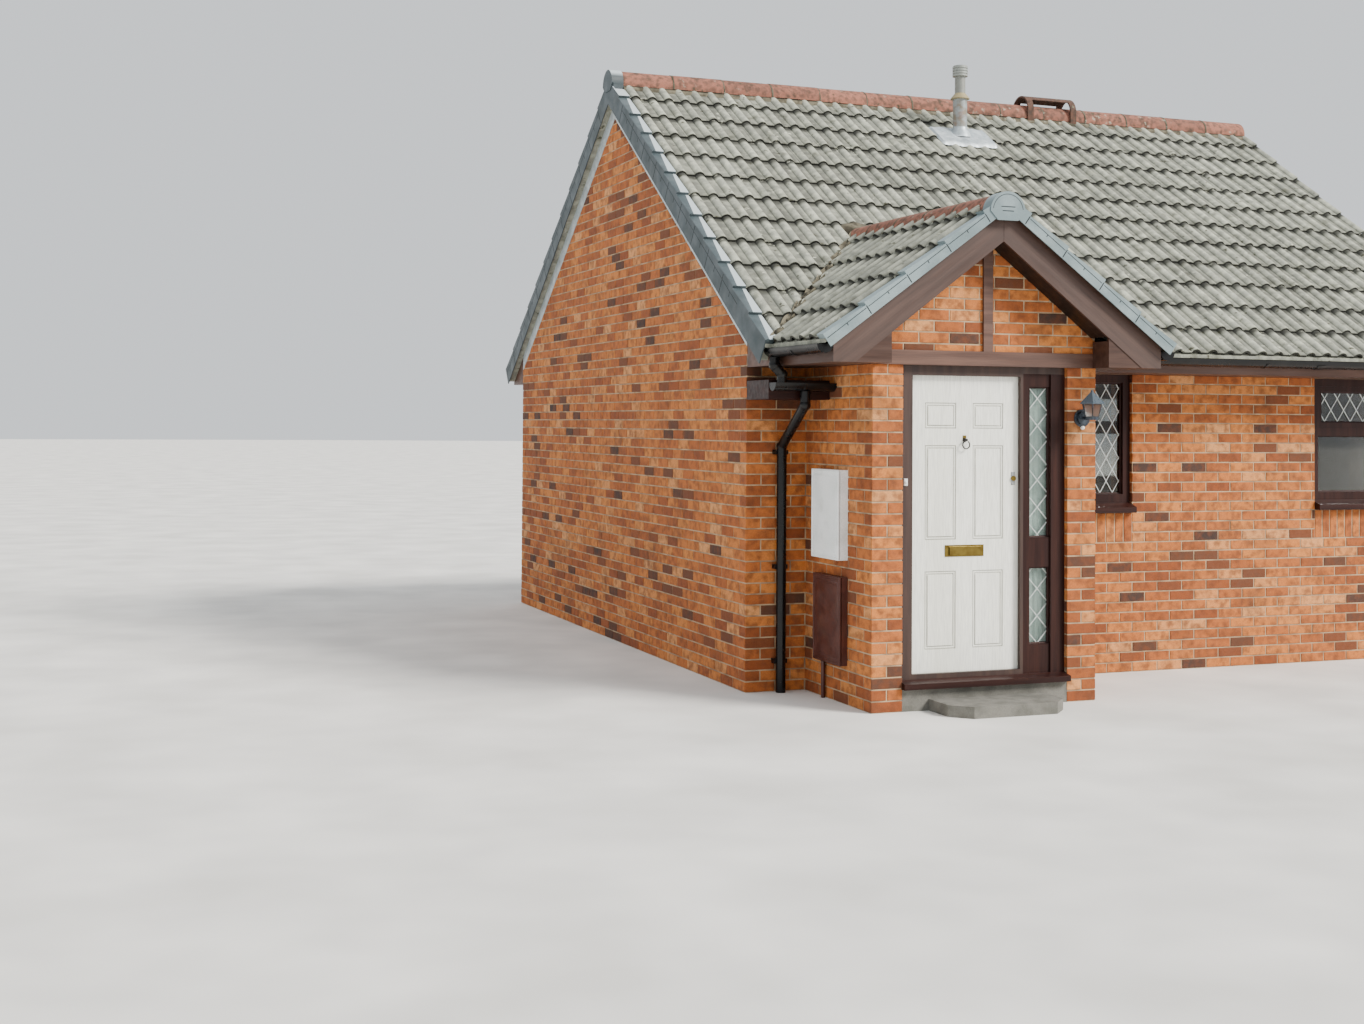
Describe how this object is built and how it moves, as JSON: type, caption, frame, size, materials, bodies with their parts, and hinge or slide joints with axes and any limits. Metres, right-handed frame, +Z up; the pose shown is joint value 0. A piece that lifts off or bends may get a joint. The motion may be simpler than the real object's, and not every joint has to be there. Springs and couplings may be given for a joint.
{
  "type": "bungalow",
  "caption": "Brick bungalow from a stepped row, with a gabled entrance porch, tiled roof, boxed eaves, leaded windows and plain party walls.",
  "frame": {"origin": "on the level ground, at the middle of the main block's rectangle, porch not counted", "axes": "+X along the front to the right as seen from the garden, +Y to the back, +Z up"},
  "size_m": [6.609, 7.8399, 5.078],
  "materials": {
    "floor_slab": "cast concrete floor",
    "ceiling": "painted plasterboard",
    "brick": "orange-red multi facing brick in light mortar",
    "tiles": "weathered concrete double-roman tiles",
    "ridge": "terracotta ridge tiles",
    "dark_verge": "slate grey",
    "light_verge": "light blue-grey",
    "stained_wood": "brown wood stain",
    "dark_wood": "dark mahogany stain",
    "black_pvc": "black",
    "white_paint": "white, moulded panels",
    "white_grp": "white moulded",
    "brown_plastic": "brown moulded",
    "brass": "lacquered brass",
    "concrete": "pre-cast concrete",
    "glass": "clear",
    "black_metal": "black and silver paint",
    "galvanised": "dull grey, weathered",
    "lead": "dull grey sheet lead"
  },
  "bodies": {
    "house": {"floor_slab": "floor_slab", "ceiling": "ceiling", "front_wall_left": "brick", "front_wall_head": "brick", "front_wall_right": "brick", "rear_wall": "brick", "left_party_wall": "brick", "right_party_wall": "brick", "porch_left_wall": "brick", "porch_right_wall": "brick", "porch_gable_wall": "brick", "main_roof_front": "tiles", "main_roof_rear": "tiles", "porch_roof_left": "tiles", "porch_roof_right": "tiles", "ridge_tiles": "ridge", "ridge_vent": "ridge", "left_verge": "dark_verge", "porch_verge": "light_verge", "barge_boards": "stained_wood", "porch_soffits": "stained_wood", "gable_frame": "stained_wood", "main_eaves": "stained_wood", "porch_eaves": "stained_wood", "low_eaves_box": "stained_wood", "main_gutters": "black_pvc", "porch_gutters": "black_pvc", "downpipes": "black_pvc", "door_frame": "stained_wood", "door_stops": "stained_wood", "sidelight_frame": "stained_wood", "door_sill": "stained_wood", "door_step": "concrete", "window_frames": "dark_wood", "window_glass": "glass", "window_sills": "dark_wood", "electric_meter_box": "white_grp", "gas_meter_box": "brown_plastic", "wall_lantern": "black_metal", "lantern_glass": "glass", "vent_pipe": "galvanised", "leadwork": "lead"},
    "door": {"front_door": "white_paint", "door_furniture": "brass"},
    "flap": {"letter_flap": "brass"},
    "electric_door": {"electric_meter_door": "white_grp"},
    "gas_door": {"gas_meter_door": "brown_plastic"}
  },
  "joints": [
    {"name": "front_door_hinge", "type": "hinge", "parent": "house", "child": "door", "pos_m": [-2.521, -3.87075, 1.1965], "axis": [0, 0, 1], "range_deg": [0, 90]},
    {"name": "letter_flap_hinge", "type": "hinge", "parent": "door", "child": "flap", "pos_m": [-2.0985, -3.93225, 1.049], "axis": [-1, 0, 0], "range_deg": [0, 85]},
    {"name": "electric_meter_door_hinge", "type": "hinge", "parent": "house", "child": "electric_door", "pos_m": [-2.875, -3.22275, 1.2485], "axis": [0, 0, -1], "range_deg": [0, 110]},
    {"name": "gas_meter_door_hinge", "type": "hinge", "parent": "house", "child": "gas_door", "pos_m": [-2.861, -3.22275, 0.548], "axis": [0, 0, -1], "range_deg": [0, 110]}
  ]
}
